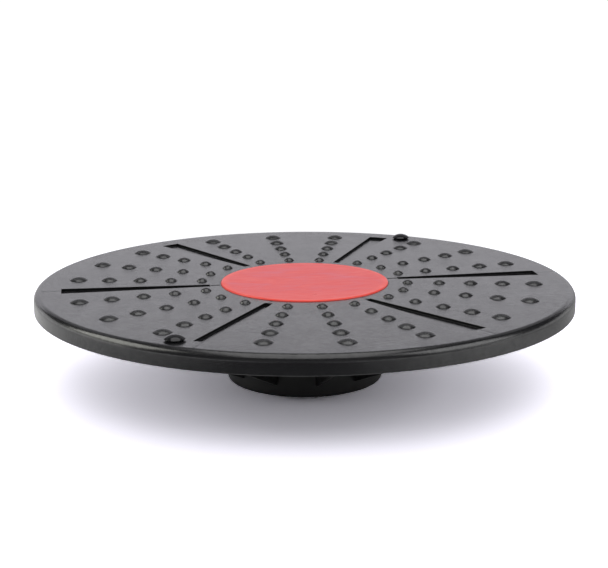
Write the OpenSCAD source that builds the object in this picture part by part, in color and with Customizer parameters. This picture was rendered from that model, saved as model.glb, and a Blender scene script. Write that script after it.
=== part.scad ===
// Balance board: a round moulded deck that rocks on a domed cup.
// +Z is up, the floor is Z = 0, and the deck's axis is the Z axis.
// The first slot, and the first web under the deck, point along +X.

/* [Deck] */
// Diameter of the deck
deck_d = 400; // [380:1:440]
// Height of the deck's flat top above the floor
deck_top_z = 79.3; // [75:0.1:84]
// Thickness of the deck's plate
plate_t = 4.5; // [4:0.1:5.5]
// Height of the rim, from the flat top to the skirt's lower edge
rim_h = 13.6; // [12:0.1:16]
// Radius of the rim's rounded top edge
rim_edge_r = 5.3; // [4.6:0.1:6]
// Thickness of the skirt that hangs from the rim
skirt_t = 3; // [2:0.1:4]

/* [Bumps] */
// Number of bumps along each ray
bumps_per_ray = 5; // [2:1:5]
// Radius of the circle that the outermost bumps stand on
bump_outer_r = 170.7; // [168:0.1:176]
// Distance from one bump to the next along a ray
bump_pitch = 23.4; // [20:0.1:23.6]
// Angle from a sector's middle ray to each of its side rays
ray_angle = 18; // [16:0.5:19]
// Diameter of an outermost bump
bump_outer_d = 13.9; // [9:0.1:14.4]
// Diameter of an innermost bump
bump_inner_d = 8.2; // [5.4:0.1:8.6]
// Height of the bumps above the deck
bump_h = 2.3; // [1.5:0.1:2.6]

/* [Slots] */
// Radius at which a slot begins
slot_inner_r = 71; // [68:0.5:80]
// Radius at which a slot ends
slot_outer_r = 180; // [150:0.5:184]
// Angle that a slot spans
slot_angle = 4.9; // [3:0.1:6]
// Depth of a slot
slot_depth = 1.9; // [1:0.1:3]

/* [Centre disc] */
// Diameter of the centre disc
disc_d = 125; // [120:0.5:130]
// Height of the disc above the flat top
disc_proud = 0.9; // [0.4:0.1:1.5]
// Depth of the deck's recess that the disc lies in
recess_depth = 2.2; // [1.8:0.1:2.6]

/* [Rocker cup] */
// Outer diameter of the cup
cup_d = 116.8; // [110:0.2:118]
// Radius of the dome that the board rocks on
dome_r = 250; // [220:5:300]
// Radius of the edge between the cup's wall and its dome
cup_edge_r = 3; // [2:0.5:6]
// Thickness of the cup's wall
cup_wall = 3.5; // [3:0.1:4.5]
// Diameter of the rubber pad at the dome's lowest point
pad_d = 36; // [30:1:44]

/* [Webs] */
// Thickness of a web
web_t = 2.4; // [1.6:0.1:3]
// Height above the floor of a web's lower end, where it meets the cup
web_foot_z = 15.4; // [14:0.1:20]

/* [Plugs] */
// Radius of the circle that the two plugs stand on
plug_circle_r = 183.5; // [182:0.1:185]
// Angle of the first plug; the second is opposite
plug_angle = 54; // [52:0.5:56]
// Diameter of a plug's head at its widest
plug_head_d = 14.6; // [12:0.1:16]
// Height of a plug's head above the deck
plug_head_h = 4; // [2:0.1:5]
// Diameter of a plug's stem
plug_stem_d = 10; // [8:0.1:10.5]

/* [Hidden] */
$fn = 96;
cut = 1;                            // depth to which a cutter runs past a face
root = 1;                           // depth to which a feature runs into the wall it stands on
fit_gap = 0.2;                      // gap around a piece that drops into its seat

// Sectors of the deck, each between two slots, and two webs to a sector
sectors = 6;
web_count = 2 * sectors;

// Heights of the deck, from the top down
deck_under_z = deck_top_z - plate_t;
skirt_z = deck_top_z - rim_h;
recess_z = deck_top_z - recess_depth;
hub_t = 5.7;                        // thickness that the hub adds under the plate
hub_z = deck_under_z - hub_t;       // the cup's rim meets the hub here

// Radii
deck_r = deck_d / 2;
cup_r = cup_d / 2;
disc_r = disc_d / 2;
sector_angle = 360 / sectors;

// Centring ring of the hub, which drops into the mouth of the cup
ring_r = cup_r - cup_wall - fit_gap;
ring_t = 2;
ring_h = 3;

// Screws that hold the cup, under the disc
screw_count = 6;
screw_circle_r = 43;
screw_d = 4.5;
screw_len = 20;
screw_head_d = 9;
screw_head_h = 3;
screw_chamfer = 1;
washer_d = 12;
washer_t = 1;
head_room = 0.3;                    // from a screw's head up to the disc
counterbore_z = recess_z - screw_head_h - washer_t - head_room;
screw_head_z = counterbore_z + washer_t;
screw_hole_gap = 0.05;
cross_w = 1.2;
cross_l = 5;
cross_depth = 1.8;

// Pegs that hold the disc
peg_count = 3;
peg_circle_r = 24;
peg_turn = 30;
peg_d = 6;
peg_h = 5;
peg_gap = 0.05;

// Rubber pad, flat under the pole of the dome
pad_drop = 0.2;                     // the dome's pole is this far above the pad's face
pad_t = 2.6;
pad_edge_r = 0.5;
pad_gap = 0.1;
pad_boss_wall = 4;                  // around the pad's seat, inside the cup
pad_boss_h = 3;

// Rounded edge of the cup: a circle that touches the wall and the dome from inside
edge_x = cup_r - cup_edge_r;
dome_centre_z = pad_drop + dome_r;
edge_z = dome_centre_z - sqrt(pow(dome_r - cup_edge_r, 2) - pow(edge_x, 2));
touch_x = dome_r * edge_x / (dome_r - cup_edge_r);

// Posts of the cup, which take the screws
post_d = 11;
pilot_depth = 22;
gusset_t = 2.4;
gusset_drop = 5;                    // from the cup's rim down to a gusset's top
post_root = 0.5;                    // depth to which posts and gussets run into the cup's floor
post_foot_z = cup_floor_z(screw_circle_r - post_d / 2) - post_root;
gusset_foot_z = cup_floor_z(screw_circle_r + post_d / 2) - post_root;

// Plug sockets
socket_d = 17;
socket_h = 9;
plug_gap = 0.08;
plug_stem_len = plate_t + socket_h;
plug_nose_h = 1.5;
plug_nose_taper = 1;
plug_core_d = 5;
plug_lip_h = 1.3;                   // from the deck up to where the head is widest
plug_undercut = 1.7;                // by which the head narrows towards the deck

// Height of the cup's inner floor at radius r
function cup_floor_z(r) = dome_centre_z - sqrt(pow(dome_r - cup_wall, 2) - r * r);

// Sphere that a cap of diameter d and height h is cut from
function cap_r(d, h) = (d * d / 4 + h * h) / (2 * h);

// Cap with its flat side on the XY plane, and below it a root of the given depth
module cap(d, h, depth) {
    intersection() {
        translate([0, 0, h - cap_r(d, h)]) sphere(cap_r(d, h));
        translate([0, 0, -depth]) cylinder(d = d, h = h + depth);
    }
}

// Copies of the children, evenly spaced around the Z axis
module around(count, start = 0) {
    for (i = [0 : count - 1]) rotate([0, 0, start + i * 360 / count]) children();
}

module ring_sector(inner_r, outer_r, angle) {
    reach = outer_r * 1.2;
    half = angle / 2;
    intersection() {
        difference() {
            circle(outer_r);
            circle(inner_r);
        }
        polygon([[0, 0], [reach * cos(half), -reach * sin(half)],
                 [reach * cos(half), reach * sin(half)]]);
    }
}

// Plate, rounded edge and skirt of the deck, right of the axis
module deck_outline() {
    difference() {
        union() {
            translate([0, deck_under_z]) square([deck_r - rim_edge_r, plate_t]);
            translate([deck_r - rim_edge_r, deck_top_z - rim_edge_r]) circle(rim_edge_r);
            translate([deck_r - rim_edge_r, skirt_z]) square([rim_edge_r, rim_h - rim_edge_r]);
        }
        translate([0, skirt_z - cut]) square([deck_r - skirt_t, rim_h - plate_t + cut]);
    }
}

module deck_bumps() {
    for (ray = [-1 : 1]) around(sectors, sector_angle / 2 + ray * ray_angle)
        for (i = [0 : bumps_per_ray - 1]) {
            share = i / (bumps_per_ray - 1);
            translate([bump_outer_r - i * bump_pitch, 0, deck_top_z])
                cap(bump_outer_d + share * (bump_inner_d - bump_outer_d), bump_h, root);
        }
}

module at_plugs() {
    around(2, plug_angle) translate([plug_circle_r, 0, 0]) children();
}

module at_screws() {
    around(screw_count, 180 / screw_count) translate([screw_circle_r, 0, 0]) children();
}

module at_pegs() {
    around(peg_count, peg_turn) translate([peg_circle_r, 0, 0]) children();
}

module deck() {
    color([0.17, 0.17, 0.18]) difference() {
        union() {
            rotate_extrude($fn = 240) deck_outline();
            translate([0, 0, hub_z]) cylinder(r = cup_r, h = hub_t + root);
            translate([0, 0, hub_z - ring_h]) difference() {
                cylinder(r = ring_r, h = ring_h + root);
                translate([0, 0, -cut]) cylinder(r = ring_r - ring_t, h = ring_h + cut);
            }
            at_plugs() translate([0, 0, deck_under_z - socket_h])
                cylinder(d = socket_d, h = socket_h + root);
            deck_bumps();
        }
        translate([0, 0, recess_z]) cylinder(r = disc_r + fit_gap, h = recess_depth + cut);
        around(sectors) translate([0, 0, deck_top_z - slot_depth])
            linear_extrude(slot_depth + cut) ring_sector(slot_inner_r, slot_outer_r, slot_angle);
        at_plugs() translate([0, 0, deck_under_z - socket_h - cut])
            cylinder(r = plug_stem_d / 2 + plug_gap, h = plug_stem_len + 2 * cut);
        at_screws() {
            translate([0, 0, hub_z - cut])
                cylinder(r = screw_d / 2 + screw_hole_gap, h = plate_t + hub_t);
            translate([0, 0, counterbore_z])
                cylinder(d = washer_d + 2 * fit_gap, h = recess_z - counterbore_z + cut);
        }
        at_pegs() translate([0, 0, recess_z - peg_h - fit_gap])
            cylinder(r = peg_d / 2 + peg_gap, h = peg_h + fit_gap + cut);
    }
}

// Triangles that stiffen the deck, from the foot of the cup out to the skirt
module deck_webs() {
    inner_r = cup_r + fit_gap;
    outer_r = deck_r - skirt_t - fit_gap;
    color([0.13, 0.13, 0.14]) around(web_count)
        rotate([90, 0, 0]) translate([0, 0, -web_t / 2]) linear_extrude(web_t)
            polygon([[inner_r, web_foot_z], [outer_r, deck_under_z], [inner_r, deck_under_z]]);
}

module centre_disc() {
    t = recess_depth + disc_proud;
    edge_r = disc_proud;
    color([0.80, 0.20, 0.20]) union() {
        translate([0, 0, recess_z]) rotate_extrude($fn = 160) union() {
            square([disc_r - edge_r, t]);
            square([disc_r, t - edge_r]);
            translate([disc_r - edge_r, t - edge_r]) circle(edge_r);
        }
        at_pegs() translate([0, 0, recess_z - peg_h]) cylinder(d = peg_d, h = peg_h + root);
    }
}

// Outer shape of the cup, right of the axis: the dome, its rounded edge and the wall
module cup_outline() {
    intersection() {
        translate([0, dome_centre_z]) circle(dome_r, $fn = 360);
        square([touch_x, hub_z]);
    }
    translate([edge_x, edge_z]) circle(cup_edge_r);
    translate([0, edge_z]) square([cup_r, hub_z - edge_z]);
}

module cup_hollow() {
    floor_r = dome_r - cup_wall;
    inner_r = cup_r - cup_wall;
    intersection() {
        translate([0, 0, dome_centre_z]) sphere(floor_r, $fn = 360);
        cylinder(r = inner_r, h = hub_z + cut);
    }
}

module rocker_cup() {
    color([0.10, 0.10, 0.11]) difference() {
        union() {
            difference() {
                rotate_extrude($fn = 160) cup_outline();
                cup_hollow();
            }
            at_screws() {
                translate([0, 0, post_foot_z]) cylinder(d = post_d, h = hub_z - post_foot_z);
                translate([0, -gusset_t / 2, gusset_foot_z])
                    cube([cup_r - cup_wall / 2 - screw_circle_r, gusset_t,
                          hub_z - gusset_drop - gusset_foot_z]);
            }
            translate([0, 0, pad_t]) cylinder(r = pad_d / 2 + pad_boss_wall, h = pad_boss_h);
        }
        at_screws() translate([0, 0, hub_z - pilot_depth])
            cylinder(r = screw_d / 2 + screw_hole_gap, h = pilot_depth + cut);
        translate([0, 0, -cut]) cylinder(r = pad_d / 2 + pad_gap, h = pad_t + cut);
    }
}

module cup_screws() {
    color([0.62, 0.63, 0.65]) at_screws() translate([0, 0, screw_head_z]) difference() {
        union() {
            cylinder(d = screw_head_d, h = screw_head_h - screw_chamfer);
            translate([0, 0, screw_head_h - screw_chamfer])
                cylinder(d1 = screw_head_d, d2 = screw_head_d - 2 * screw_chamfer, h = screw_chamfer);
            translate([0, 0, -screw_len]) cylinder(d = screw_d, h = screw_len + root);
        }
        for (turn = [0, 90]) rotate([0, 0, turn])
            translate([-cross_l / 2, -cross_w / 2, screw_head_h - cross_depth])
                cube([cross_l, cross_w, cross_depth + cut]);
    }
}

module cup_washers() {
    color([0.70, 0.71, 0.73]) at_screws() translate([0, 0, counterbore_z]) difference() {
        cylinder(d = washer_d, h = washer_t);
        translate([0, 0, -cut]) cylinder(r = screw_d / 2 + fit_gap, h = washer_t + 2 * cut);
    }
}

module foot_pad() {
    color([0.20, 0.20, 0.20]) rotate_extrude() union() {
        square([pad_d / 2 - pad_edge_r, pad_t]);
        translate([0, pad_edge_r]) square([pad_d / 2, pad_t - pad_edge_r]);
        translate([pad_d / 2 - pad_edge_r, pad_edge_r]) circle(pad_edge_r);
    }
}

module plug(angle) {
    rotate([0, 0, angle]) translate([plug_circle_r, 0, deck_top_z]) difference() {
        union() {
            translate([0, 0, plug_lip_h]) cap(plug_head_d, plug_head_h - plug_lip_h, 0);
            cylinder(d1 = plug_head_d - 2 * plug_undercut, d2 = plug_head_d, h = plug_lip_h);
            translate([0, 0, -plug_stem_len]) cylinder(d = plug_stem_d, h = plug_stem_len + root);
            translate([0, 0, -plug_stem_len - plug_nose_h])
                cylinder(d1 = plug_stem_d - 2 * plug_nose_taper, d2 = plug_stem_d, h = plug_nose_h);
        }
        translate([0, 0, -plug_stem_len - plug_nose_h - cut])
            cylinder(d = plug_core_d, h = plug_stem_len + plug_nose_h);
    }
}

module plug_right() {
    color([0.08, 0.08, 0.09]) plug(plug_angle);
}

module plug_left() {
    color([0.08, 0.08, 0.09]) plug(plug_angle + 180);
}

deck();
deck_webs();
centre_disc();
rocker_cup();
cup_screws();
cup_washers();
foot_pad();
plug_left();
plug_right();
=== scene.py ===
import math

import bpy
from mathutils import Matrix, Vector
from mathutils.geometry import delaunay_2d_cdt


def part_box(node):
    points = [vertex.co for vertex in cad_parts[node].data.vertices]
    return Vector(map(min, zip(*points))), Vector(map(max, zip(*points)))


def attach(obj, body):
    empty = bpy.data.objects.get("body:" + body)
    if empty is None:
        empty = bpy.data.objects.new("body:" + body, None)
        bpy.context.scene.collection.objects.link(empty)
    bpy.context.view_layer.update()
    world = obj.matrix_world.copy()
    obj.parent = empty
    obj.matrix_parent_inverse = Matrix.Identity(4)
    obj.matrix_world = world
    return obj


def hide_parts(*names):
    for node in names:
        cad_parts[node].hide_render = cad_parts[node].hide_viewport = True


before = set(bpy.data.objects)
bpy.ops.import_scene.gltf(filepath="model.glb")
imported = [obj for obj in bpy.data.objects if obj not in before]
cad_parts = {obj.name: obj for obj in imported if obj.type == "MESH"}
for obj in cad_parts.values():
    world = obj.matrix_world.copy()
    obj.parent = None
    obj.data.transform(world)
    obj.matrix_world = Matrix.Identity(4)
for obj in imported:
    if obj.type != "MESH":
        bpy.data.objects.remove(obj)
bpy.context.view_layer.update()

MM = 0.001

# ---------------------------------------------------------------- sizes, some of them from the frame
DECK_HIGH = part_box("deck")[1]
WEB_LOW, WEB_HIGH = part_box("deck_webs")
CUP_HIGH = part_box("rocker_cup")[1]
DISC_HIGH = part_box("centre_disc")[1]
PAD_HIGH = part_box("foot_pad")[1]
PLUG_LOW, PLUG_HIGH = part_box("plug_right")

FIT = 0.2 * MM                         # gap around a piece that drops into its seat

BUMP_H = 2.3 * MM                      # the bumps are the deck's highest points
DECK_R = DECK_HIGH[0]
TOP = DECK_HIGH[2] - BUMP_H            # the deck's flat top
UNDER = WEB_HIGH[2]                    # the plate's underside
SKIRT_Z = TOP - 13.6 * MM              # the skirt's lower edge
EDGE_R = 5.3 * MM                      # rounded top edge of the rim
SKIRT_T = 3.0 * MM

SECTORS = 6
SECTOR = math.tau / SECTORS
RAYS = (-18.0, 0.0, 18.0)              # degrees from a sector's middle
BUMPS_PER_RAY = 5
BUMP_OUTER_R = 170.7 * MM
BUMP_PITCH = 23.4 * MM
BUMP_OUTER_D = 13.9 * MM
BUMP_INNER_D = 8.2 * MM
BUMP_FILLET = 0.10 * MM

SLOT_INNER = 71 * MM
SLOT_OUTER = 180 * MM
SLOT_HALF = math.radians(2.45)
SLOT_DEPTH = 1.9 * MM

DISC_R = DISC_HIGH[0]
DISC_TOP = DISC_HIGH[2]
RECESS_R = DISC_R + FIT
RECESS_Z = TOP - 2.2 * MM
PEG_R = 3 * MM
PEG_H = 5 * MM
PEG_RING_R = 24 * MM
PEG_COUNT = 3
PEG_TURN = math.radians(30)            # place of the first peg

CUP_R = CUP_HIGH[0]
CUP_RIM = CUP_HIGH[2]
CUP_WALL = 3.5 * MM
DOME_R = 250 * MM
DOME_CENTRE_Z = DOME_R + 0.2 * MM
CUP_EDGE_R = 3.0 * MM
CUP_FILLET = 2 * MM                    # between the cup's inner wall and its floor
RING_R = CUP_R - CUP_WALL - FIT        # ring under the hub, which centres the cup
RING_T = 2 * MM
RING_H = 3 * MM

SCREW_COUNT = 6
SCREW_RING_R = 43 * MM
SCREW_HOLE_R = 2.3 * MM
SEAT_R = 6.2 * MM                      # counterbore for a washer
SEAT_Z = RECESS_Z - 4.3 * MM
POST_R = 5.5 * MM
POST_HOLE_DEPTH = 22 * MM

WEB_COUNT = 2 * SECTORS
WEB_IN = CUP_R + FIT
WEB_OUT = WEB_HIGH[0]
WEB_FOOT_Z = WEB_LOW[2]
WEB_T = 2.4 * MM

PAD_R = PAD_HIGH[0]
PAD_T = PAD_HIGH[2]
PAD_SEAT_R = PAD_R + 0.1 * MM

PLUG_RING_R = 183.5 * MM
PLUG_TURNS = {"plug_right": math.radians(54), "plug_left": math.radians(234)}
PLUG_HEAD_R = 7.3 * MM
PLUG_HEAD_H = PLUG_HIGH[2] - TOP
PLUG_LIP_H = 1.3 * MM                  # from the deck up to where the head is widest
PLUG_UNDERCUT = 1.7 * MM               # by which the head narrows towards the deck
PLUG_STEM_R = 5 * MM
PLUG_STEM_LOW = PLUG_LOW[2]
PLUG_NOSE_TAPER = 1 * MM
PLUG_NOSE_H = 1.5 * MM
PLUG_CORE_R = 2.5 * MM                 # the stem is hollow from below
PLUG_BORE_R = 5.08 * MM
SOCKET_R = 8.5 * MM
SOCKET_H = 9.0 * MM

# Sides of the round shapes
RIM_SIDES = 360
DISC_SIDES = 240
CUP_SIDES = 180
PAD_SIDES = 96
PLUG_SIDES = 72
BUMP_SIDES = 40
SOCKET_SIDES = 40
HOLE_SIDES = 32


# ---------------------------------------------------------------- mesh tools
class Build:
    """Collects vertices and faces, and joins loops of vertices with strips of quads."""

    def __init__(self):
        self.verts = []
        self.faces = []

    def add(self, points):
        start = len(self.verts)
        self.verts.extend(tuple(p) for p in points)
        return list(range(start, len(self.verts)))

    def point(self, x, y, z):
        return self.add([(x, y, z)])[0]

    def strip(self, low, high):
        """Quads between two closed loops; counter-clockwise ones, the second higher, face outwards."""
        n = len(low)
        for i in range(n):
            j = (i + 1) % n
            self.faces.append((low[i], low[j], high[j], high[i]))

    def fan(self, loop, tip, flip=False):
        n = len(loop)
        for i in range(n):
            face = (loop[i], loop[(i + 1) % n], tip)
            self.faces.append(face[::-1] if flip else face)

    def piece(self, name, material, smooth_below=35.0):
        mesh = bpy.data.meshes.new(name)
        mesh.from_pydata(self.verts, [], self.faces)
        mesh.validate()
        mesh.update()
        mesh.shade_smooth()
        mesh.set_sharp_from_angle(angle=math.radians(smooth_below))
        mesh.materials.append(material)
        obj = bpy.data.objects.new(name, mesh)
        bpy.context.scene.collection.objects.link(obj)
        weighted = obj.modifiers.new("normals", "WEIGHTED_NORMAL")
        weighted.keep_sharp = True
        return obj


def polar(radius, angle):
    return radius * math.cos(angle), radius * math.sin(angle)


def turned(x, y, z, angle):
    c, s = math.cos(angle), math.sin(angle)
    return x * c - y * s, x * s + y * c, z


def ring(radius, z, count, centre=(0.0, 0.0)):
    """Counter-clockwise circle of points."""
    points = (polar(radius, math.tau * i / count) for i in range(count))
    return [(centre[0] + x, centre[1] + y, z) for x, y in points]


def arc(x, z, r, start, end, steps):
    """Points of an arc in the (radius, height) plane, ends included, angles in degrees."""
    turns = (math.radians(start + (end - start) * i / steps) for i in range(steps + 1))
    return [(x + r * math.cos(a), z + r * math.sin(a)) for a in turns]


def lathe(build, profile, count, centre=(0.0, 0.0), close_start=False, close_end=False):
    """Spins a (radius, height) profile; a profile that runs up at the outside faces outwards."""
    loops = [build.add(ring(r, z, count, centre)) for r, z in profile]
    for a, b in zip(loops, loops[1:]):
        build.strip(a, b)
    if close_start:
        build.fan(loops[0], build.point(*centre, profile[0][1]), flip=True)
    if close_end:
        build.fan(loops[-1], build.point(*centre, profile[-1][1]))
    return loops


def inside(p, outline):
    hit = False
    for (x1, y1), (x2, y2) in zip(outline, outline[1:] + outline[:1]):
        if (y1 > p[1]) != (y2 > p[1]) and p[0] < (x2 - x1) * (p[1] - y1) / (y2 - y1) + x1:
            hit = not hit
    return hit


def circle_hole(loop, centre, radius):
    return {"loop": loop, "has": lambda p: math.dist(p, centre) < radius}


def outline_hole(build, loop):
    outline = [build.verts[v][:2] for v in loop]
    return {"loop": loop, "has": lambda p: inside(p, outline)}


def flat_area(build, z, outer, holes, up=True):
    """Triangles at one height between an outer loop and holes, all of them loops of vertex numbers."""
    loops = [outer] + [h["loop"] for h in holes]
    order = [v for loop in loops for v in loop]
    flat = [Vector(build.verts[v][:2]) for v in order]
    edges = []
    at = 0
    for loop in loops:
        n = len(loop)
        edges += [(at + i, at + (i + 1) % n) for i in range(n)]
        at += n
    points, _, faces, origin, _, _ = delaunay_2d_cdt(flat, edges, [], 0, 1e-7, True)
    number = [order[o[0]] if o else build.point(p.x, p.y, z) for p, o in zip(points, origin)]
    outline = [build.verts[v][:2] for v in outer]
    for face in faces:
        centre = sum((points[i] for i in face), Vector((0, 0))) / len(face)
        if not inside(centre, outline) or any(h["has"](centre) for h in holes):
            continue
        ids = [number[i] for i in face]
        build.faces.append(tuple(ids if up else ids[::-1]))


# ---------------------------------------------------------------- deck
def bump_profile(diameter, height):
    """Fillet and cap of a bump, from the deck inwards and up."""
    half = diameter / 2
    cap_r = (half * half + height * height) / (2 * height)
    centre = height - cap_r
    fillet_x = math.sqrt((cap_r + BUMP_FILLET) ** 2 - (BUMP_FILLET - centre) ** 2)
    touch = math.degrees(math.atan2(BUMP_FILLET - centre, fillet_x))
    fillet = arc(fillet_x, BUMP_FILLET, BUMP_FILLET, -90, -180 + touch, 4)
    return fillet + arc(0, centre, cap_r, touch, 90, 9)[1:-1]


def add_bumps(build):
    holes = []
    for sector in range(SECTORS):
        for ray in RAYS:
            angle = SECTOR * (sector + 0.5) + math.radians(ray)
            for i in range(BUMPS_PER_RAY):
                share = i / (BUMPS_PER_RAY - 1)
                diameter = BUMP_OUTER_D + share * (BUMP_INNER_D - BUMP_OUTER_D)
                centre = polar(BUMP_OUTER_R - i * BUMP_PITCH, angle)
                profile = [(r, TOP + z) for r, z in bump_profile(diameter, BUMP_H)]
                loops = lathe(build, profile, BUMP_SIDES, centre)
                build.fan(loops[-1], build.point(*centre, TOP + BUMP_H))
                holes.append(circle_hole(loops[0], centre, profile[0][0]))
    return holes


def slot_outline(inset, z, turn):
    """Counter-clockwise outline of a slot, shrunk by inset."""
    inner, outer = SLOT_INNER + inset, SLOT_OUTER - inset
    half_in = SLOT_HALF - math.asin(inset / inner)
    half_out = SLOT_HALF - math.asin(inset / outer)
    end_steps, start_steps, side_steps = 3, 2, 14
    end = [polar(outer, half_out * (-1 + i / end_steps)) for i in range(2 * end_steps + 1)]
    start = [polar(inner, half_in * (1 - i / start_steps)) for i in range(2 * start_steps + 1)]
    far = [Vector(end[-1]).lerp(Vector(start[0]), i / side_steps) for i in range(1, side_steps)]
    near = [Vector(start[-1]).lerp(Vector(end[0]), i / side_steps) for i in range(1, side_steps)]
    return [turned(p[0], p[1], z, turn) for p in end + far + start + near]


def add_slots(build):
    """Sunk sectors with a rounded lip, drafted walls and a rounded foot."""
    lip = [(0, 0), (0.05 * MM, -0.02 * MM), (0.10 * MM, -0.10 * MM), (0.12 * MM, -0.20 * MM)]
    foot = [(0.17 * MM, -SLOT_DEPTH + 0.12 * MM), (0.21 * MM, -SLOT_DEPTH + 0.03 * MM),
            (0.30 * MM, -SLOT_DEPTH)]
    levels = lip + foot
    holes = []
    for sector in range(SECTORS):
        loops = [build.add(slot_outline(inset, TOP + z, SECTOR * sector)) for inset, z in levels]
        for a, b in zip(loops, loops[1:]):
            build.strip(a, b)
        build.faces.append(tuple(loops[-1]))
        holes.append(outline_hole(build, loops[0]))
    return holes


def add_scribed_lines(build):
    """Fine V grooves on each slot's centre line, at both ends; two of the inner ones are cut deep."""
    holes = []
    taper = 0.5 * MM
    slot_gap, disc_gap, rim_gap = 0.3 * MM, 0.6 * MM, 0.4 * MM
    fine_line, deep_line = (0.25 * MM, 0.14 * MM), (1.20 * MM, 1.20 * MM)
    inner = (RECESS_R + disc_gap, SLOT_INNER - slot_gap)
    outer = (SLOT_OUTER + slot_gap, DECK_R - EDGE_R - rim_gap)
    for sector in range(SECTORS):
        for start, end in (inner, outer):
            is_deep = sector % 3 == 0 and (start, end) == inner
            half, depth = deep_line if is_deep else fine_line

            def row(points):
                return build.add([turned(*p, SECTOR * sector) for p in points])

            a, b = start + taper, end - taper
            tips = row([(start, 0, TOP), (end, 0, TOP)])
            low = row([(a, -half, TOP), (b, -half, TOP)])
            high = row([(a, half, TOP), (b, half, TOP)])
            bed = row([(a, 0, TOP - depth), (b, 0, TOP - depth)])
            build.faces += [(low[0], low[1], bed[1], bed[0]), (bed[0], bed[1], high[1], high[0]),
                            (tips[0], low[0], bed[0]), (tips[0], bed[0], high[0]),
                            (tips[1], bed[1], low[1]), (tips[1], high[1], bed[1])]
            holes.append(outline_hole(build, [tips[0], low[0], low[1], tips[1], high[1], high[0]]))
    return holes


def add_plug_sockets(build):
    """Bores through the plate, and the bosses that carry them on under it."""
    top_holes, under_holes = [], []
    for turn in PLUG_TURNS.values():
        centre = polar(PLUG_RING_R, turn)
        foot = UNDER - SOCKET_H
        mouth, edge, draft, root = 0.3 * MM, 0.6 * MM, 0.1 * MM, 0.8 * MM
        profile = [(PLUG_BORE_R + mouth, TOP), (PLUG_BORE_R, TOP - mouth), (PLUG_BORE_R, foot),
                   (SOCKET_R - edge, foot), (SOCKET_R, foot + edge),
                   (SOCKET_R + draft, UNDER - root), (SOCKET_R + draft + root, UNDER)]
        loops = lathe(build, profile, SOCKET_SIDES, centre)
        top_holes.append(circle_hole(loops[0], centre, profile[0][0]))
        under_holes.append(circle_hole(loops[-1], centre, profile[-1][0]))
    return top_holes, under_holes


def screw_places():
    return [polar(SCREW_RING_R, math.tau * (i + 0.5) / SCREW_COUNT) for i in range(SCREW_COUNT)]


def peg_places():
    return [polar(PEG_RING_R, PEG_TURN + math.tau * i / PEG_COUNT) for i in range(PEG_COUNT)]


def add_screw_seats(build):
    """Counterbores in the recess with through holes below them, and blind holes for the disc's pegs."""
    recess_holes, hub_holes = [], []
    for centre in screw_places():
        profile = [(SEAT_R, RECESS_Z), (SEAT_R, SEAT_Z), (SCREW_HOLE_R, SEAT_Z), (SCREW_HOLE_R, CUP_RIM)]
        loops = lathe(build, profile, HOLE_SIDES, centre)
        recess_holes.append(circle_hole(loops[0], centre, SEAT_R))
        hub_holes.append(circle_hole(loops[-1], centre, SCREW_HOLE_R))
    for centre in peg_places():
        hole_r, floor_z = PEG_R + 0.05 * MM, RECESS_Z - PEG_H - FIT
        loops = lathe(build, [(hole_r, RECESS_Z), (hole_r, floor_z)], HOLE_SIDES, centre, close_end=True)
        recess_holes.append(circle_hole(loops[0], centre, hole_r))
    return recess_holes, hub_holes


def make_deck(material):
    build = Build()
    bore_holes, socket_holes = add_plug_sockets(build)
    recess_holes, hub_holes = add_screw_seats(build)
    top_holes = add_bumps(build) + add_slots(build) + add_scribed_lines(build) + bore_holes

    lip, lip_middle = 0.3 * MM, 0.1 * MM
    recess = [(RECESS_R + lip, TOP), (RECESS_R + lip_middle, TOP - lip_middle), (RECESS_R, TOP - lip),
              (RECESS_R, RECESS_Z)]
    recess_loops = lathe(build, recess, DISC_SIDES)
    top_holes.append(circle_hole(recess_loops[0], (0, 0), RECESS_R + lip))
    flat_area(build, RECESS_Z, recess_loops[-1], recess_holes)

    foot_r, fillet, bevel = 0.7 * MM, 1 * MM, 0.3 * MM
    inner = DECK_R - SKIRT_T
    rim = arc(inner - fillet, UNDER - fillet, fillet, 90, 0, 4)
    rim += [(inner, SKIRT_Z + bevel), (inner + bevel, SKIRT_Z)]
    rim += arc(DECK_R - foot_r, SKIRT_Z + foot_r, foot_r, -90, 0, 4)
    rim += arc(DECK_R - EDGE_R, TOP - EDGE_R, EDGE_R, 0, 90, 10)
    rim_loops = lathe(build, rim, RIM_SIDES)
    flat_area(build, TOP, rim_loops[-1], top_holes)

    ring_in, ring_low = RING_R - RING_T, CUP_RIM - RING_H
    ring_bevel, root = 0.4 * MM, 0.6 * MM
    hub = [(ring_in, CUP_RIM), (ring_in, ring_low), (RING_R - ring_bevel, ring_low),
           (RING_R, ring_low + ring_bevel), (RING_R, CUP_RIM), (CUP_R - bevel, CUP_RIM),
           (CUP_R, CUP_RIM + bevel), (CUP_R, UNDER - root), (CUP_R + root, UNDER)]
    hub_loops = lathe(build, hub, CUP_SIDES)
    flat_area(build, CUP_RIM, hub_loops[0], hub_holes, up=False)
    hub_foot = circle_hole(hub_loops[-1], (0, 0), hub[-1][0])
    flat_area(build, UNDER, rim_loops[0], socket_holes + [hub_foot], up=False)
    return build.piece("deck_moulding", material)


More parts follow.
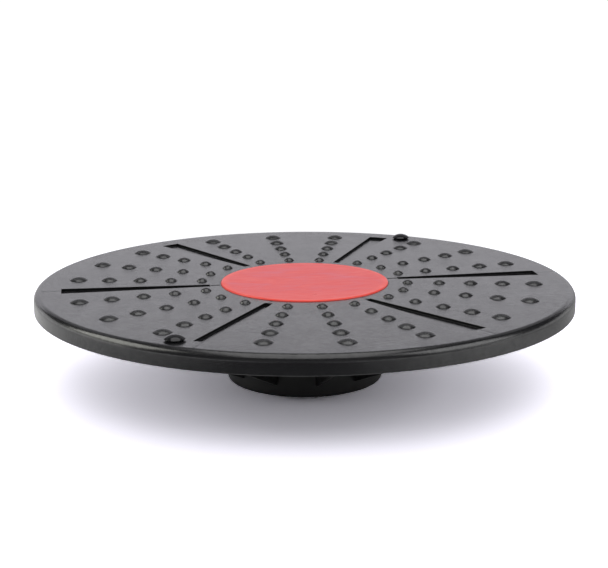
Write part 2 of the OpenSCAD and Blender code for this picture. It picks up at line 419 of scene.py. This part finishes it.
# ---------------------------------------------------------------- webs
def add_web(build, turn):
    """A triangular web with drafted sides and a rounded free edge, from the cup out to the skirt."""
    stations = 24
    edge = 0.5 * MM
    round_in = 0.29 * edge             # to the middle of the edge's rounding
    end_h = 0.9 * MM
    foot_draft = 0.15 * MM
    loops = []
    for i in range(stations + 1):
        share = i / stations
        r = WEB_IN + (WEB_OUT - WEB_IN) * share
        z = WEB_FOOT_Z + (UNDER - end_h - WEB_FOOT_Z) * share
        draft = foot_draft * (UNDER - z) / (UNDER - WEB_FOOT_Z)
        root, tip = WEB_T / 2, WEB_T / 2 - draft
        section = [(-root, UNDER), (-tip, z + edge), (-tip + round_in, z + round_in), (-tip + edge, z),
                   (tip - edge, z), (tip - round_in, z + round_in), (tip, z + edge), (root, UNDER)]
        loops.append(build.add([turned(r, y, h, turn) for y, h in section]))
    for a, b in zip(loops, loops[1:]):
        for i in range(len(a)):
            j = (i + 1) % len(a)
            build.faces.append((a[i], a[j], b[j], b[i])[::-1])
    build.faces.append(tuple(loops[0]))
    build.faces.append(tuple(loops[-1][::-1]))


def make_webs(material):
    build = Build()
    for i in range(WEB_COUNT):
        add_web(build, math.tau * i / WEB_COUNT)
    return build.piece("web_set", material)


# ---------------------------------------------------------------- disc
def disc_height(x, y):
    """Faint sink and swirl of a moulded plate, zero at its edge."""
    r = math.hypot(x, y) / DISC_R
    fade = max(0.0, 1 - r ** 4)
    # Radians per metre: the swirl is about 100 mm from crest to crest, the fine ripple about 43 mm
    swirl = math.sin(61 * x + 38 * y + 0.6) * math.sin(47 * y - 29 * x + 1.9)
    fine = math.sin(143 * x - 71 * y) * math.sin(118 * y + 64 * x + 0.8)
    swirl_h, fine_h, sink = 0.055 * MM, 0.018 * MM, 0.10 * MM
    return fade * (swirl_h * swirl + fine_h * fine - sink)


def make_disc(material):
    build = Build()
    foot = RECESS_Z
    edge_r = DISC_TOP - TOP
    bevel, peg_bevel = 0.3 * MM, 0.6 * MM
    side = [(DISC_R - bevel, foot), (DISC_R, foot + bevel)]
    side += arc(DISC_R - edge_r, DISC_TOP - edge_r, edge_r, 0, 90, 6)
    loops = lathe(build, side, DISC_SIDES)
    rows = 30
    flat_r = DISC_R - edge_r
    below = loops[-1]
    for i in range(1, rows):
        r = flat_r * (1 - i / rows)
        row = [(x, y, z + disc_height(x, y)) for x, y, z in ring(r, DISC_TOP, DISC_SIDES)]
        row = build.add(row)
        build.strip(below, row)
        below = row
    build.fan(below, build.point(0, 0, DISC_TOP + disc_height(0, 0)))
    holes = []
    for centre in peg_places():
        tip = RECESS_Z - PEG_H
        peg = [(PEG_R - peg_bevel, tip), (PEG_R, tip + peg_bevel), (PEG_R, foot)]
        peg_loops = lathe(build, peg, HOLE_SIDES, centre, close_start=True)
        holes.append(circle_hole(peg_loops[-1], centre, PEG_R))
    flat_area(build, foot, loops[0], holes, up=False)
    return build.piece("disc_plate", material)


# ---------------------------------------------------------------- cup
def dome_point(radius, inset=0.0):
    """Height of the dome, or of a surface inset from it, at a radius."""
    return DOME_CENTRE_Z - math.sqrt((DOME_R - inset) ** 2 - radius ** 2)


def cup_profile():
    """The cup in section, from the pad's seat out over the dome, up the wall and down inside."""
    edge_x = CUP_R - CUP_EDGE_R
    edge_z = DOME_CENTRE_Z - math.sqrt((DOME_R - CUP_EDGE_R) ** 2 - edge_x ** 2)
    touch = math.degrees(math.atan2(edge_z - DOME_CENTRE_Z, edge_x))
    touch_x = DOME_R * math.cos(math.radians(touch))
    lip, rim_bevel, inner_bevel = 0.4 * MM, 0.4 * MM, 0.3 * MM
    seat_lip = PAD_SEAT_R + lip
    outside = [(PAD_SEAT_R, PAD_T), (PAD_SEAT_R, dome_point(PAD_SEAT_R) + lip)]
    steps = 22
    outside += [(r, dome_point(r)) for r in
                (seat_lip + (touch_x - seat_lip) * i / steps for i in range(steps))]
    outside += arc(edge_x, edge_z, CUP_EDGE_R, touch, 0, 8)
    outside += [(CUP_R, CUP_RIM - rim_bevel), (CUP_R - rim_bevel, CUP_RIM)]
    inner_r = CUP_R - CUP_WALL
    floor_r = inner_r - CUP_FILLET
    fillet_z = dome_point(floor_r, CUP_WALL) + CUP_FILLET
    within = [(inner_r + inner_bevel, CUP_RIM), (inner_r, CUP_RIM - inner_bevel), (inner_r, fillet_z)]
    within += arc(floor_r, fillet_z, CUP_FILLET, 0, -80, 4)[1:]
    boss_r, boss_root = PAD_SEAT_R + 4 * MM, 0.6 * MM
    boss_z = PAD_T + 3 * MM
    steps = 10
    floor = (floor_r + (boss_r + boss_root - floor_r) * i / steps for i in range(1, steps + 1))
    within += [(r, dome_point(r, CUP_WALL)) for r in floor]
    within += [(boss_r, dome_point(boss_r, CUP_WALL) + boss_root), (boss_r, boss_z)]
    return outside + within


def add_posts(build):
    """Posts that take the screws, rooted in the dome, each with a gusset to the wall."""
    root, bevel = 0.5 * MM, 0.3 * MM
    foot = dome_point(SCREW_RING_R - POST_R, CUP_WALL) - root
    gusset_foot = dome_point(SCREW_RING_R + POST_R, CUP_WALL) - root
    gusset_top = CUP_RIM - 5 * MM
    gusset_half = 1.2 * MM
    gusset_root = 0.6 * MM
    for i, centre in enumerate(screw_places()):
        post = [(POST_R, foot), (POST_R, CUP_RIM - bevel), (POST_R - bevel, CUP_RIM),
                (SCREW_HOLE_R, CUP_RIM), (SCREW_HOLE_R, CUP_RIM - POST_HOLE_DEPTH)]
        lathe(build, post, HOLE_SIDES, centre, close_start=True, close_end=True)
        turn = math.tau * (i + 0.5) / SCREW_COUNT
        near, far = SCREW_RING_R + POST_R - gusset_root, CUP_R - CUP_WALL / 2
        corners = [(near, -gusset_half), (far, -gusset_half), (far, gusset_half), (near, gusset_half)]
        low = build.add([turned(x, y, gusset_foot, turn) for x, y in corners])
        high = build.add([turned(x, y, gusset_top, turn) for x, y in corners])
        build.strip(low, high)
        build.faces += [tuple(low[::-1]), tuple(high)]


def make_cup(material):
    build = Build()
    lathe(build, cup_profile(), CUP_SIDES, close_start=True, close_end=True)
    add_posts(build)
    return build.piece("cup_moulding", material)


# ---------------------------------------------------------------- foot pad and plugs
def make_pad(material):
    """Rubber pad with rings of grip grooves in its face."""
    build = Build()
    edge, bevel = 0.5 * MM, 0.2 * MM
    groove_d, groove_w = 0.35 * MM, 0.9 * MM
    groove_radii = (5 * MM, 9 * MM, 13 * MM)
    face = []
    for r in groove_radii:
        face += [(r - groove_w / 2, 0), (r - groove_w / 4, groove_d), (r + groove_w / 4, groove_d),
                 (r + groove_w / 2, 0)]
    profile = face + arc(PAD_R - edge, edge, edge, -90, 0, 4)
    profile += [(PAD_R, PAD_T - bevel), (PAD_R - bevel, PAD_T)]
    lathe(build, profile, PAD_SIDES, close_start=True, close_end=True)
    return build.piece("grip_pad", material)


def make_plug(node, material):
    """A press-in plug: lens-shaped head, undercut at the deck, and a hollow stem with a tapered nose."""
    build = Build()
    centre = polar(PLUG_RING_R, PLUG_TURNS[node])
    cap_h = PLUG_HEAD_H - PLUG_LIP_H
    cap_r = (PLUG_HEAD_R ** 2 + cap_h ** 2) / (2 * cap_h)
    cap_z = TOP + PLUG_HEAD_H - cap_r
    edge_turn = math.degrees(math.atan2(TOP + PLUG_LIP_H - cap_z, PLUG_HEAD_R))
    core_top = TOP - 1 * MM
    edge_in, edge_down = 0.12 * MM, 0.15 * MM
    profile = [(PLUG_CORE_R, core_top), (PLUG_CORE_R, PLUG_STEM_LOW),
               (PLUG_STEM_R - PLUG_NOSE_TAPER, PLUG_STEM_LOW),
               (PLUG_STEM_R, PLUG_STEM_LOW + PLUG_NOSE_H), (PLUG_STEM_R, TOP),
               (PLUG_HEAD_R - PLUG_UNDERCUT, TOP),
               (PLUG_HEAD_R - edge_in, TOP + PLUG_LIP_H - edge_down)]
    profile += arc(0, cap_z, cap_r, edge_turn, 90, 18)[:-1]
    lathe(build, profile, PLUG_SIDES, centre, close_start=True, close_end=True)
    return build.piece(node.replace("plug_", "plug_head_"), material)


# ---------------------------------------------------------------- materials
# Distances from the frame's origin: out to the slots' ends, and where the disc's rim is painted warmer and
# brighter, as painted light on its rounded edge
SLOT_REACH = math.hypot(SLOT_OUTER + 1 * MM, TOP)
EDGE_GLOW_FROM = math.hypot(DISC_R - 6 * MM, DISC_TOP)
EDGE_GLOW_TO = math.hypot(DISC_R - 2 * MM, DISC_TOP)


class Shader:
    """A Principled material, with short calls that wire procedural patterns in metres into it."""

    def __init__(self, name, **constants):
        self.material = bpy.data.materials.new(name)
        self.material.use_nodes = True
        self.nodes = self.material.node_tree.nodes
        self.links = self.material.node_tree.links
        self.bsdf = self.nodes["Principled BSDF"]
        for socket, value in constants.items():
            self.bsdf.inputs[socket.replace("_", " ")].default_value = value
        self.place = self.nodes.new("ShaderNodeTexCoord").outputs["Object"]

    def feed(self, node, socket, value):
        if isinstance(value, bpy.types.NodeSocket):
            self.links.new(value, node.inputs[socket])
        else:
            node.inputs[socket].default_value = value

    def noise(self, size, detail=2.0, roughness=0.5, distortion=0.0, stretch=(1, 1, 1)):
        """Noise from 0 to 1 whose features are about size metres across."""
        scale = self.nodes.new("ShaderNodeMapping")
        self.feed(scale, "Vector", self.place)
        scale.inputs["Scale"].default_value = tuple(1 / (size * s) for s in stretch)
        node = self.nodes.new("ShaderNodeTexNoise")
        self.feed(node, "Vector", scale.outputs[0])
        for socket, value in (("Scale", 1.0), ("Detail", detail), ("Roughness", roughness),
                              ("Distortion", distortion)):
            node.inputs[socket].default_value = value
        return node.outputs["Fac"]

    def cells(self, size):
        """Distance from the middles of cells about size metres across."""
        scale = self.nodes.new("ShaderNodeMapping")
        self.feed(scale, "Vector", self.place)
        scale.inputs["Scale"].default_value = (1 / size,) * 3
        node = self.nodes.new("ShaderNodeTexVoronoi")
        self.feed(node, "Vector", scale.outputs[0])
        node.inputs["Scale"].default_value = 1.0
        return node.outputs["Distance"]

    def span(self, value, low, high, start, end):
        """value taken from low..high to start..end, and held at the ends."""
        node = self.nodes.new("ShaderNodeMapRange")
        for socket, number in (("Value", value), ("From Min", low), ("From Max", high),
                               ("To Min", start), ("To Max", end)):
            self.feed(node, socket, number)
        return node.outputs[0]

    def math(self, operation, a, b):
        node = self.nodes.new("ShaderNodeMath")
        node.operation = operation
        self.feed(node, 0, a)
        self.feed(node, 1, b)
        return node.outputs[0]

    def dot(self, direction):
        """How far a point lies along a direction."""
        node = self.nodes.new("ShaderNodeVectorMath")
        node.operation = "DOT_PRODUCT"
        self.feed(node, 0, self.place)
        node.inputs[1].default_value = direction
        return node.outputs["Value"]

    def length(self):
        """Distance of a point from the origin."""
        node = self.nodes.new("ShaderNodeVectorMath")
        node.operation = "LENGTH"
        self.feed(node, 0, self.place)
        return node.outputs["Value"]

    def mix(self, factor, a, b):
        """Colour between a and b."""
        node = self.nodes.new("ShaderNodeMix")
        node.data_type = "RGBA"
        node.clamp_result = False
        self.feed(node, "Factor", factor)
        for socket, value in zip([i for i in node.inputs if i.type == "RGBA"], (a, b)):
            if isinstance(value, bpy.types.NodeSocket):
                self.links.new(value, socket)
            else:
                socket.default_value = value
        return [o for o in node.outputs if o.type == "RGBA"][0]

    def colours(self, factor, *stops):
        """Colour ramp through (position, colour) stops."""
        node = self.nodes.new("ShaderNodeValToRGB")
        self.feed(node, "Fac", factor)
        ramp = node.color_ramp.elements
        while len(ramp) < len(stops):
            ramp.new(0.5)
        for element, (position, colour) in zip(ramp, stops):
            element.position = position
            element.color = (*colour, 1)
        return node.outputs["Color"]

    def bump(self, height, depth, under=None):
        """Bump of a height pattern from 0 to 1, depth metres deep, on top of another bump."""
        node = self.nodes.new("ShaderNodeBump")
        node.inputs["Distance"].default_value = depth
        self.feed(node, "Height", height)
        if under is not None:
            self.feed(node, "Normal", under)
        return node.outputs[0]

    def finish(self, colour, roughness, normal):
        for socket, output in (("Base Color", colour), ("Roughness", roughness), ("Normal", normal)):
            self.feed(self.bsdf, socket, output)
        return self.material


def deck_plastic():
    """Charcoal plastic with a leather-like grain, mottled on top, shinier on bumps, and on slot walls matt
    and painted dark as shade.
    """
    s = Shader("deck_plastic_look", IOR=1.5)
    grain = s.cells(1.3 * MM)
    fine = s.noise(0.5 * MM, detail=3.0)
    rubbed = s.noise(22 * MM, detail=5.0, roughness=0.62, distortion=0.5)
    cloudy = s.noise(60 * MM, detail=2.0)
    pebble = s.noise(4.5 * MM, detail=4.0, roughness=0.75)
    speckle = s.noise(1.1 * MM, detail=3.0, roughness=0.7)

    # Told by height and reach: matt and darkened with painted shade on the slots' walls, raised on the
    # bumps, flat nowhere below the top
    height = s.dot((0, 0, 1))
    sunk = s.math("MULTIPLY", s.span(height, TOP - 0.25 * MM, TOP - 0.12 * MM, 1, 0),
                  s.span(height, TOP - SLOT_DEPTH + 0.03 * MM, TOP - SLOT_DEPTH + 0.15 * MM, 0, 1))
    dull_and_shaded = s.math("MULTIPLY", sunk, s.span(s.length(), SLOT_REACH, SLOT_REACH + 1 * MM, 1, 0))
    raised = s.span(height, TOP + 0.1 * MM, TOP + 0.6 * MM, 0, 1)
    flat = s.span(height, TOP - 0.5 * MM, TOP - 0.1 * MM, 0, 1)

    # The mottle fades to its middle tone below the top
    middle = 0.45
    mottle = s.math("MULTIPLY", s.span(pebble, 0.36, 0.64, 0.3, 1), s.span(speckle, 0.36, 0.64, 0.4, 1))
    mottle = s.math("ADD", s.math("MULTIPLY", s.math("SUBTRACT", mottle, middle), flat), middle)
    body = s.colours(mottle, (0.12, (0.0030, 0.0030, 0.0034)), (middle, (0.0110, 0.0110, 0.0120)),
                     (1.0, (0.0360, 0.0360, 0.0370)))
    # Painted shade: the slots' walls turn near black, as if in the shade of the recess
    colour = s.mix(dull_and_shaded, body, (0.004, 0.004, 0.0045, 1))

    gloss = s.math("ADD", s.span(rubbed, 0.3, 0.7, 0.19, 0.24), s.span(fine, 0.3, 0.7, -0.05, 0.05))
    gloss = s.math("ADD", gloss, s.span(raised, 0, 1, 0, 0.05))
    rough = s.span(dull_and_shaded, 0, 1, gloss, 0.7)
    shine = s.math("ADD", s.span(pebble, 0.36, 0.64, 0.42, 0.56), s.span(raised, 0, 1, 0, 0.22))
    s.feed(s.bsdf, "Specular IOR Level", s.span(dull_and_shaded, 0, 1, shine, 0.05))

    wave = s.bump(s.math("MULTIPLY", flat, pebble), 0.10 * MM, s.bump(cloudy, 0.08 * MM))
    grain = s.math("MULTIPLY", grain, s.span(flat, 0, 1, 0.6, 1))
    normal = s.bump(fine, 0.030 * MM, s.bump(grain, 0.040 * MM, wave))
    return s.finish(colour, rough, normal)


def web_plastic():
    """Black moulded plastic, slightly satin, with flow marks that run up the webs."""
    s = Shader("web_plastic_look", IOR=1.48)
    flow = s.noise(9 * MM, detail=4.0, stretch=(1, 1, 0.35))
    fine = s.noise(0.4 * MM, detail=2.0)
    colour = s.colours(flow, (0.3, (0.007, 0.007, 0.008)), (0.75, (0.013, 0.013, 0.014)))
    return s.finish(colour, s.span(flow, 0.3, 0.7, 0.38, 0.48), s.bump(fine, 0.008 * MM))


def cup_plastic():
    """Black satin plastic with faint flow marks."""
    s = Shader("cup_plastic_look", IOR=1.48)
    flow = s.noise(16 * MM, detail=4.0, roughness=0.6, stretch=(1, 1, 0.5))
    fine = s.noise(0.45 * MM, detail=2.0)
    colour = s.colours(flow, (0.3, (0.005, 0.005, 0.006)), (0.75, (0.009, 0.009, 0.010)))
    wave = s.bump(flow, 0.05 * MM)
    return s.finish(colour, s.span(flow, 0.3, 0.7, 0.30, 0.40), s.bump(fine, 0.006 * MM, wave))


def disc_plastic():
    """Red semi-gloss plastic, slightly uneven, with pinker patches that are painted sheen, faint scuffs,
    and a rim painted warmer as painted edge light.
    """
    s = Shader("disc_plastic_look", IOR=1.42)
    cloud = s.noise(26 * MM, detail=3.0, roughness=0.55, distortion=1.2, stretch=(1.6, 1, 1))
    scuff = s.noise(3 * MM, detail=4.0, roughness=0.7, stretch=(5, 1, 1))
    fine = s.noise(0.6 * MM, detail=2.0)
    # Red of uneven tone; its pinker end is painted sheen, standing in for white reflection
    body = s.colours(cloud, (0.40, (0.79, 0.030, 0.022)), (0.52, (0.77, 0.050, 0.052)),
                     (0.68, (0.74, 0.105, 0.135)))
    # Painted light: the rim turns a brighter, warmer red, standing in for how light falls on its rounded
    # edge
    edge = s.span(s.length(), EDGE_GLOW_FROM, EDGE_GLOW_TO, 0, 1)
    colour = s.mix(edge, body, (0.86, 0.058, 0.040, 1))
    rough = s.math("ADD", s.span(cloud, 0.3, 0.7, 0.30, 0.44), s.span(scuff, 0.4, 0.7, -0.03, 0.05))
    normal = s.bump(fine, 0.003 * MM, s.bump(cloud, 0.12 * MM))
    return s.finish(colour, rough, normal)


def plug_plastic():
    """Glossy black plastic with a slight haze."""
    s = Shader("plug_plastic_look", IOR=1.5, Specular_IOR_Level=0.3)
    haze = s.noise(2.5 * MM, detail=3.0)
    colour = s.colours(haze, (0.3, (0.006, 0.006, 0.007)), (0.7, (0.011, 0.011, 0.012)))
    return s.finish(colour, s.span(haze, 0.3, 0.7, 0.10, 0.18), s.bump(haze, 0.02 * MM))


def pad_rubber():
    """Matt black rubber with fine pits and some dust."""
    s = Shader("pad_rubber_look", IOR=1.45)
    pits = s.cells(0.8 * MM)
    dust = s.noise(6 * MM, detail=4.0, roughness=0.65)
    colour = s.colours(dust, (0.35, (0.020, 0.020, 0.020)), (0.75, (0.048, 0.046, 0.044)))
    return s.finish(colour, s.span(dust, 0.3, 0.7, 0.75, 0.92), s.bump(pits, 0.05 * MM))


def zinc_steel():
    """Bright zinc-plated steel with a faint spangle and turning marks."""
    s = Shader("zinc_steel_look", Metallic=1.0)
    spangle = s.cells(1.1 * MM)
    turned_marks = s.noise(0.35 * MM, detail=2.0, stretch=(1, 1, 6))
    colour = s.colours(spangle, (0.1, (0.60, 0.61, 0.64)), (0.8, (0.70, 0.70, 0.71)))
    return s.finish(colour, s.span(turned_marks, 0.3, 0.7, 0.22, 0.38), s.bump(turned_marks, 0.006 * MM))


# ---------------------------------------------------------------- studio
VIEW_TURN = math.radians(9.14)         # the camera looks this far from +Y towards +X
VIEW_DOWN = math.radians(13.16)
VIEW_ROLL = math.radians(-0.18)
CAMERA_AT = Vector((-0.16548, -1.02576, 0.3205))
FILM_WIDTH = 36.0                      # millimetres, as is the focal length
FOCAL_LENGTH = 84.3

FLOOR_Z = -0.1 * MM
FLOOR_R = 14.0
FLOOR_SIDES = 64
AMBIENT = 0.78                         # brightness of the surroundings as a light
BACKDROP = 1.05                        # and as the camera sees them

NEUTRAL = (1.0, 1.0, 1.0)
COOL = (0.985, 0.970, 1.030)
WARM = (1.0, 1.0, 0.93)

# Boxes seen only in reflections: name, place (right, back, up), width, height, brightness, tint
REFLECTED_BOXES = (
    ("back_wall", (0, 2.2, 0.34), 3.6, 0.52, 0.75, COOL),
    ("back_upper", (0, 2.2, 0.78), 3.6, 0.36, 1.15, COOL),
    ("back_gap", (0, 1.35, 1.30), 2.6, 1.0, 0.42, COOL),
    ("top_box", (0, -0.24, 1.45), 1.2, 1.75, 2.2, NEUTRAL),
    ("left_high", (-1.24, -0.05, 0.913), 1.1, 0.757, 4.6, WARM),
    ("left_low", (-1.47, -0.05, 0.362), 1.1, 0.463, 0.9, WARM),
    ("right_high", (1.115, -0.41, 0.924), 1.1, 0.809, 3.1, NEUTRAL),
    ("right_low", (1.34, -0.495, 0.368), 1.1, 0.436, 0.8, NEUTRAL),
    ("left_wall", (-2.2, 0.6, 0.30), 3.0, 0.6, 1.2, NEUTRAL),
    ("right_wall", (2.2, 0.6, 0.30), 3.0, 0.6, 0.9, NEUTRAL),
    ("front_wall", (0, -2.4, 0.62), 3.0, 0.7, 0.28, NEUTRAL))

# Boxes that only light, and never show in a reflection: name, place, brightness
FILL_W, FILL_H = 1.4, 0.9
FILL_BOXES = (
    ("front_fill", (0, -1.9, 1.75), 2.4),
    ("left_fill", (-2.2, -0.7, 1.00), 3.0),
    ("right_fill", (2.2, -0.7, 1.00), 3.0))


def make_camera():
    data = bpy.data.cameras.new("camera")
    data.sensor_width = FILM_WIDTH
    data.lens = FOCAL_LENGTH
    camera = bpy.data.objects.new("camera", data)
    bpy.context.scene.collection.objects.link(camera)
    turn = Matrix.Rotation(-VIEW_TURN, 4, "Z") @ Matrix.Rotation(math.pi / 2 - VIEW_DOWN, 4, "X")
    camera.matrix_world = Matrix.Translation(CAMERA_AT) @ turn @ Matrix.Rotation(VIEW_ROLL, 4, "Z")
    bpy.context.scene.camera = camera


def studio(right, back, up):
    """A place given as seen from the camera, in metres from the middle of the floor."""
    return Matrix.Rotation(-VIEW_TURN, 3, "Z") @ Vector((right, back, up))


def softbox(name, place, width, height, radiance, tint=NEUTRAL):
    """Area light that looks at the deck; its power follows from the brightness of its face."""
    data = bpy.data.lights.new(name, "AREA")
    data.color = tint
    data.shape = "RECTANGLE"
    data.size = width
    data.size_y = height
    data.energy = radiance * math.pi * width * height
    light = bpy.data.objects.new(name, data)
    light.location = studio(*place)
    aim = Vector((0, 0, TOP)) - studio(*place)
    light.rotation_euler = aim.to_track_quat("-Z", "Y").to_euler()
    bpy.context.scene.collection.objects.link(light)
    return light


def make_backdrop():
    """Even white surroundings, which light the board softly but don't show in reflections."""
    world = bpy.data.worlds.new("studio")
    world.use_nodes = True
    tree = world.node_tree
    background = tree.nodes["Background"]
    background.inputs["Color"].default_value = (1, 1, 1, 1)
    path = tree.nodes.new("ShaderNodeLightPath")
    strength = tree.nodes.new("ShaderNodeMapRange")
    strength.inputs["To Min"].default_value = AMBIENT
    strength.inputs["To Max"].default_value = BACKDROP
    tree.links.new(path.outputs["Is Camera Ray"], strength.inputs["Value"])
    tree.links.new(strength.outputs[0], background.inputs["Strength"])
    bpy.context.scene.world = world
    world.cycles_visibility.glossy = False


def make_lights():
    bpy.context.scene.view_settings.view_transform = "Standard"
    for name, place, width, height, radiance, tint in REFLECTED_BOXES:
        box = softbox(name, place, width, height, radiance, tint)
        box.visible_diffuse = False
    for name, place, radiance in FILL_BOXES:
        fill = softbox(name, place, FILL_W, FILL_H, radiance)
        fill.visible_glossy = False


def floor_paper():
    """White paper with painted light: one brightness for the camera and another for the board; clear from
    below.
    """
    s = Shader("floor_paper")
    s.nodes.remove(s.bsdf)
    across, along = (s.dot(studio(1, 0, 0)), s.dot(studio(0, 1, 0)))
    reach = s.length()

    # For the board: painted light and shade, dark in front of its middle, light at the sides, grey behind,
    # and a ring at its edge
    dark_at = -0.04
    from_middle = s.math("ABSOLUTE", s.math("SUBTRACT", across, dark_at), 0)
    sides = s.span(from_middle, 0.15, 0.46, 0.01, 1.45)
    behind = s.span(across, -0.3, 0.3, 0.95, 0.5)
    near = s.math("MULTIPLY", s.span(reach, 0.26, 0.33, 1.3, 0), s.span(reach, 0.17, 0.22, 0, 1))
    reflected = s.math("ADD", s.span(along, -0.25, 0.05, sides, behind), near)

    # For the camera: painted lightest under and round the board, so that its shadow stays soft and pale
    seen = s.mix(s.span(reach, 0.35, 0.60, 0, 1), (1.95, 1.91, 2.10, 1), (1.08, 1.08, 1.10, 1))
    seen = s.mix(s.span(reach, 0.8, 2.2, 0, 1), seen, (1.36, 1.36, 1.36, 1))

    is_seen = s.nodes.new("ShaderNodeLightPath").outputs["Is Camera Ray"]
    diffuse = s.nodes.new("ShaderNodeBsdfDiffuse")
    s.feed(diffuse, "Color", s.mix(is_seen, reflected, seen))
    below = s.nodes.new("ShaderNodeMixShader")
    s.feed(below, "Fac", s.nodes.new("ShaderNodeNewGeometry").outputs["Backfacing"])
    s.feed(below, 1, diffuse.outputs[0])
    s.feed(below, 2, s.nodes.new("ShaderNodeBsdfTransparent").outputs[0])
    s.feed(s.nodes["Material Output"], "Surface", below.outputs[0])
    return s.material


def make_floor():
    build = Build()
    centre = build.point(0, 0, FLOOR_Z)
    build.fan(build.add(ring(FLOOR_R, FLOOR_Z, FLOOR_SIDES)), centre)
    build.piece("floor", floor_paper())


# ---------------------------------------------------------------- assembly
make_camera()
make_backdrop()
make_lights()
make_floor()

BOARD_PIECES = (("deck", make_deck, deck_plastic), ("deck_webs", make_webs, web_plastic),
                ("centre_disc", make_disc, disc_plastic), ("rocker_cup", make_cup, cup_plastic),
                ("foot_pad", make_pad, pad_rubber))
for node, make, finish in BOARD_PIECES:
    piece = make(finish())
    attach(piece, "board")
    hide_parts(node)

gloss = plug_plastic()
for node, body in (("plug_left", "left_plug"), ("plug_right", "right_plug")):
    plug = make_plug(node, gloss)
    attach(plug, body)
    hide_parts(node)

zinc = zinc_steel()
for node in ("cup_screws", "cup_washers"):
    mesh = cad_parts[node].data
    mesh.materials.clear()
    mesh.materials.append(zinc)
